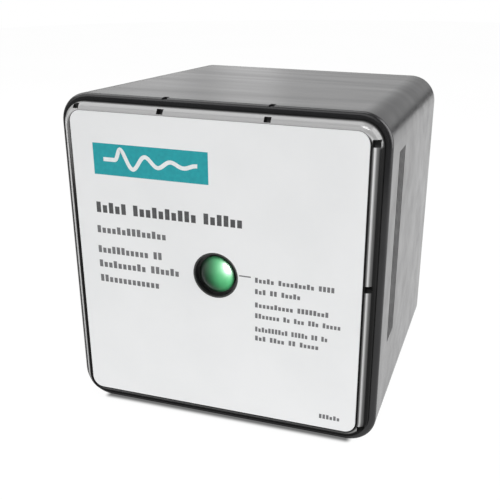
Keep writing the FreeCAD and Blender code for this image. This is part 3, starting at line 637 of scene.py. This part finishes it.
def add_pulse_trace(mesh_builder, front, back):
    """A surge pulse that dies away, as a line of even width across the teal block."""
    left, right, low, high = TEAL_BLOCK
    middle = (low + high) / 2
    swing = (high - low) * PULSE_SWING
    centre_line = []
    for i in range(PULSE_STEPS + 1):
        share = i / PULSE_STEPS
        since = max(share - PULSE_START, 0)
        rise = min(since / PULSE_RISE, 1)
        level = rise * rise * (3 - 2 * rise) * math.exp(-PULSE_DECAY * since)
        x = left + (right - left) * (PULSE_MARGIN + (1 - 2 * PULSE_MARGIN) * share)
        centre_line.append(Vector((x, middle + swing * level * math.sin(2 * math.pi * since / PULSE_PERIOD))))
    upper = []
    lower = []
    for i, point in enumerate(centre_line):
        before = centre_line[max(i - 1, 0)]
        after = centre_line[min(i + 1, PULSE_STEPS)]
        along = (after - before).normalized()
        across = Vector((-along.y, along.x)) * PULSE_LINE_WIDTH / 2
        upper.append((point + across) * MM)
        lower.append((point - across) * MM)
    add_plate(mesh_builder, [tuple(point) for point in lower + upper[::-1]], front, back)


# ---------------------------------------------------------------- threaded parts at the back
THREAD_PITCH = 25.4 / 14 * MM
THREAD_CREST = 13.2 * MM
THREAD_ROOT = 12.35 * MM
THREAD_FLAT = 0.12  # share of the slope cut off flat at crest and at root
STEPS_PER_PITCH = 12
NIPPLE_BORE = 10.4 * MM
FLANGE_THICKNESS = 3.0 * MM
FLANGE_HALF_FLATS = 15.0 * MM
RELIEF_RADIUS = 12.7 * MM
RELIEF_FROM_END = (9.0 * MM, 10.4 * MM)
END_CHAMFER = 0.8 * MM
BORE_CHAMFER = 0.4 * MM
NUT_BORE = 13.3 * MM
NUT_THREAD_DEPTH = 0.75 * MM
NUT_RADIUS = 16.0 * MM
NUT_LUG_RADIUS = 18.3 * MM
NUT_LUG_WIDTH = 4.6 * MM
NUT_LUGS = 8
NUT_EDGE = 0.35 * MM
NUT_MOUTH = 0.6 * MM
WASHER_BORE = 13.3 * MM


def thread_radius(y, angle, crest, root):
    """Radius of a right-hand thread with narrow flats at crest and root."""
    phase = (y / THREAD_PITCH + angle / (2 * math.pi)) % 1.0
    climb = (abs(2 * phase - 1) - THREAD_FLAT) / (1 - 2 * THREAD_FLAT)
    return root + (crest - root) * min(max(climb, 0), 1)


def thread_rows(start, end):
    """The depths of a thread's rows, from start to end in either direction."""
    count = math.ceil(abs(end - start) / THREAD_PITCH * STEPS_PER_PITCH)
    return [start + (end - start) * i / count for i in range(count + 1)]


def hexagon_radius(angle):
    return FLANGE_HALF_FLATS / math.cos(angle % math.radians(60) - math.radians(30))


def nipple_radius(y, angle, free_end):
    """The thread, with the relief groove cut through its crests and the free end chamfered."""
    radius = thread_radius(y, angle, THREAD_CREST, THREAD_ROOT)
    from_end = free_end - y
    if RELIEF_FROM_END[0] < from_end < RELIEF_FROM_END[1]:
        radius = min(radius, RELIEF_RADIUS)
    return min(radius, THREAD_CREST - END_CHAMFER + from_end)


def make_lead_nipple():
    """The threaded tube with its hexagonal flange, in place of the CAD's plain cylinder."""
    low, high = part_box("lead_nipple")

    def loop(y, radius_at):
        return [around(nipple_axis, radius_at(angle), angle, y) for angle in ROUND_ANGLES]

    flange_back = low.y + FLANGE_THICKNESS
    loops = [loop(low.y, lambda angle: NIPPLE_BORE),
             loop(low.y, hexagon_radius),
             loop(flange_back, hexagon_radius)]
    for y in thread_rows(flange_back, high.y):
        loops.append(loop(y, lambda angle: nipple_radius(y, angle, high.y)))
    loops.append(loop(high.y, lambda angle: NIPPLE_BORE + BORE_CHAMFER))
    loops.append(loop(high.y - BORE_CHAMFER, lambda angle: NIPPLE_BORE))
    piece = new_piece("threaded_nipple", loops_to_mesh(loops),
                      materials["zinc_casting"], CASE)
    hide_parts("lead_nipple")


def lug_outline():
    """(angle, radius) points round the locknut's edge, with a square lug in each eighth."""
    foot = math.asin(NUT_LUG_WIDTH / 2 / NUT_RADIUS)
    tip = math.asin(NUT_LUG_WIDTH / 2 / NUT_LUG_RADIUS)
    sector = 2 * math.pi / NUT_LUGS
    outline = []
    for index in range(NUT_LUGS):
        middle = sector * (index + 0.5)
        for share in (-1, -1 / 3, 1 / 3, 1):
            outline.append((middle + tip * share, NUT_LUG_RADIUS))
        for share in (0, 1 / 4, 1 / 2, 3 / 4, 1):
            outline.append((middle + foot + (sector - 2 * foot) * share, NUT_RADIUS))
    return outline


def make_locknut():
    """The conduit locknut, with softened edges and a real inner thread."""
    low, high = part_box("locknut")
    outline = lug_outline()

    def edge_loop(y, inset):
        return [around(nipple_axis, radius - inset, angle, y) for angle, radius in outline]

    def bore_loop(y):
        mouth = NUT_BORE + NUT_MOUTH - min(y - low.y, high.y - y)
        radii = [max(thread_radius(y, angle, NUT_BORE + NUT_THREAD_DEPTH, NUT_BORE), mouth)
                 for angle, _ in outline]
        return [around(nipple_axis, radius, angle, y) for radius, (angle, _) in zip(radii, outline)]

    loops = [edge_loop(low.y, NUT_EDGE), edge_loop(low.y + NUT_EDGE, 0),
             edge_loop(high.y - NUT_EDGE, 0), edge_loop(high.y, NUT_EDGE)]
    loops += [bore_loop(y) for y in thread_rows(high.y, low.y)]
    piece = new_piece("lugged_locknut", loops_to_mesh(loops),
                      materials["zinc_steel"], "locknut")
    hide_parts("locknut")


def rounded_ring(inner, outer, y_low, y_high, corner):
    """The (radius, y) profile of a flat ring with rounded edges."""
    corners = ((outer - corner, y_low + corner, -90), (outer - corner, y_high - corner, 0),
               (inner + corner, y_high - corner, 90), (inner + corner, y_low + corner, 180))
    profile = []
    for radius, y, start in corners:
        for turn in (0, 30, 60, 90):
            angle = math.radians(start + turn)
            profile.append((radius + corner * math.cos(angle), y + corner * math.sin(angle)))
    return profile


def make_round_washer(node, body, slot_name, corner):
    """A flat ring with rounded edges, in place of the CAD's square-edged one."""
    low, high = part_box(node)
    profile = rounded_ring(WASHER_BORE, (high.x - low.x) / 2, low.y, high.y, corner)
    piece = new_piece("rounded_" + node, lathe(nipple_axis, profile), materials[slot_name], body)
    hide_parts(node)


# ---------------------------------------------------------------- stage and lights
FLOOR_RADIUS = 1.45
FLOOR_CENTRE = (0.2, 1.1)
FLOOR_STEPS = 128
FLOOR_GLOW = 0.97
CONTACT_GLOW = 0.16
CONTACT_REACH = 2.4 * MM
# the lower side edges of the case are rounded, so its foot is narrower than its box by this on each side
FOOT_INSET = 9 * MM

LIGHTS_AIM = Vector((0, 0, 50 * MM))
# direction it comes from, distance, width and height in metres, and radiance
LIGHTS = {
    "key_right": ((0.93, -0.06, 0.42), 0.6, 0.60, 0.80, 4.2),
    "dome_light": ((0.80, -0.40, 0.46), 0.5, 0.42, 0.42, 45.0),
    "corner_light": ((0.23, -0.52, 0.81), 0.5, 0.16, 0.16, 14.0),
    "left_light": ((-0.90, -0.45, 0.10), 0.7, 0.5, 0.5, 3.0),
    "fill_front": ((-0.35, -0.85, 0.45), 1.0, 1.0, 0.7, 1.4),
    "top_left": ((-0.45, -0.05, 0.88), 0.6, 0.45, 0.8, 2.6),
}
# light linking, by CAD node
SHINES_ONLY_ON = {
    "dome_light": ["indicator_lens"],
    "corner_light": ["front_cover"],
    "left_light": ["front_cover"],
}
KEPT_OFF = {
    "floor": ["indicator_lens", "front_cover"],
    "fill_front": ["indicator_lens"],
    "top_left": ["indicator_lens"],
}


def glow_round_foot(surface):
    """The floor's glow, dimmed close to the foot of the case where a contact shadow would lie."""
    low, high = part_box("rear_housing")
    middle = centre_of("rear_housing")
    half = (high - low) / 2
    steps = [("SUBTRACT", (middle.x, middle.y, 0)), ("ABSOLUTE", (0, 0, 0)),
             ("SUBTRACT", (half.x - FOOT_INSET, half.y, 0)), ("MAXIMUM", (0, 0, 0)), ("LENGTH", (0, 0, 0))]
    value = surface.nodes.new("ShaderNodeNewGeometry").outputs["Position"]
    for operation, operand in steps:
        node = surface.nodes.new("ShaderNodeVectorMath")
        node.operation = operation
        node.inputs[1].default_value = operand
        surface.links.new(value, node.inputs[0])
        value = node.outputs["Value" if operation == "LENGTH" else "Vector"]
    glow = add_range(surface.tree, value, 0, CONTACT_REACH, CONTACT_GLOW, FLOOR_GLOW)
    glow.node.interpolation_type = "SMOOTHSTEP"
    surface.links.new(glow, surface.shader.inputs["Emission Strength"])


def make_floor():
    """A round plain floor that glows white, mostly behind the part, bright enough to have no visible edge."""
    mesh_builder = bmesh.new()
    bmesh.ops.create_circle(mesh_builder, cap_ends=True, segments=FLOOR_STEPS, radius=FLOOR_RADIUS)
    mesh = bpy.data.meshes.new("floor")
    mesh_builder.to_mesh(mesh)
    mesh_builder.free()
    surface = Surface("floor", roughness=0.9)
    surface.colour(grey(0.035), grey(0.045), 4)
    surface.set("Specular IOR Level", 0.0)
    surface.set("Emission Color", (1, 1, 1, 1))
    glow_round_foot(surface)
    mesh.materials.append(surface.material)
    floor = bpy.data.objects.new("floor", mesh)
    floor.location = (*FLOOR_CENTRE, 0)
    bpy.context.scene.collection.objects.link(floor)
    return floor


def softbox(name, direction, distance, width, height, radiance):
    """A rectangular light of even radiance, aimed at the part, that the camera doesn't see."""
    position = LIGHTS_AIM + Vector(direction).normalized() * distance
    data = bpy.data.lights.new(name, "AREA")
    data.shape = "RECTANGLE"
    data.size = width
    data.size_y = height
    data.energy = radiance * math.pi * width * height
    light = bpy.data.objects.new(name, data)
    light.location = position
    light.rotation_mode = "QUATERNION"
    light.rotation_quaternion = (LIGHTS_AIM - position).to_track_quat("-Z", "Y")
    light.visible_camera = False
    bpy.context.scene.collection.objects.link(light)
    return light


def link_light(source, nodes, state):
    """INCLUDE: the source falls on those nodes only. EXCLUDE: on everything but those nodes."""
    group = bpy.data.collections.new(source.name + "_receivers")
    for node in nodes:
        group.objects.link(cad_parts[node])
    source.light_linking.receiver_collection = group
    for receiver in group.collection_objects:
        receiver.light_linking.link_state = state


def make_stage():
    """A bright floor and soft lights. The lens and the cover have lights of their own, which model them."""
    sources = {name: softbox(name, *place) for name, place in LIGHTS.items()}
    sources["floor"] = make_floor()
    for name, nodes in SHINES_ONLY_ON.items():
        link_light(sources[name], nodes, "INCLUDE")
    for name, nodes in KEPT_OFF.items():
        link_light(sources[name], nodes, "EXCLUDE")


# level of the room by height, from straight down at 0 to straight up at 1
ROOM_BANDS = [(0.0, 0.5), (0.48, 0.5), (0.485, 0.06), (0.515, 0.06), (0.53, 1.0), (0.555, 1.0),
              (0.585, 0.90), (0.70, 0.60), (1.0, 0.60)]
# factor on that level from left at 0 to right at 1: the streaks that the top and the right side mirror
ROOM_PANELS = [(0.0, 1.0), (0.16, 1.0), (0.205, 1.16), (0.225, 1.16), (0.25, 0.93), (0.272, 1.22),
               (0.297, 1.22), (0.312, 0.93), (0.40, 0.92), (0.43, 0.80), (0.50, 0.60), (1.0, 0.80)]
# share of the room's level that is left in front of the part, and how softly it changes over
FRONT_LEVEL = 0.5
FRONT_REACH = 0.2
SIDE_REACH = 0.8


def room_ramp(tree, direction, reach, stops):
    """A grey ramp along one axis of the direction of sight, from -reach to +reach."""
    share = add_range(tree, direction, -reach, reach)
    return add_ramp(tree, share, [(position, grey(level)) for position, level in stops])


def make_world():
    """White behind the part for the camera, and a soft banded room for light and reflections."""
    world = bpy.data.worlds.new("world")
    bpy.context.scene.world = world
    world.use_nodes = True
    tree = world.node_tree
    room = tree.nodes["Background"]
    axes = tree.nodes.new("ShaderNodeSeparateXYZ")
    tree.links.new(tree.nodes.new("ShaderNodeTexCoord").outputs["Generated"], axes.inputs["Vector"])
    bands = room_ramp(tree, axes.outputs["Z"], 1, ROOM_BANDS)
    panels = room_ramp(tree, axes.outputs["X"], SIDE_REACH, ROOM_PANELS)
    layered = add_mix(tree, bands, panels, "MULTIPLY")
    layered.inputs["Factor"].default_value = 1
    tree.links.new(layered.outputs["Result"], room.inputs["Color"])
    strength = add_range(tree, axes.outputs["Y"], -FRONT_REACH, FRONT_REACH, FRONT_LEVEL, 1)
    tree.links.new(strength, room.inputs["Strength"])
    backdrop = tree.nodes.new("ShaderNodeBackground")
    backdrop.inputs["Color"].default_value = (1, 1, 1, 1)
    seen_by = tree.nodes.new("ShaderNodeLightPath")
    mixed = tree.nodes.new("ShaderNodeMixShader")
    tree.links.new(seen_by.outputs["Is Camera Ray"], mixed.inputs["Fac"])
    tree.links.new(room.outputs["Background"], mixed.inputs[1])
    tree.links.new(backdrop.outputs["Background"], mixed.inputs[2])
    tree.links.new(mixed.outputs["Shader"], tree.nodes["World Output"].inputs["Surface"])


# ---------------------------------------------------------------- build
bpy.context.scene.view_settings.view_transform = "Standard"
make_camera()
dress_cad_nodes()
make_label_print()
make_lead_nipple()
make_locknut()
make_round_washer("clamp_washer", "clamp_washer", "zinc_steel", 0.25 * MM)
make_round_washer("sealing_washer", CASE, "black_rubber", 0.35 * MM)
make_stage()
make_world()
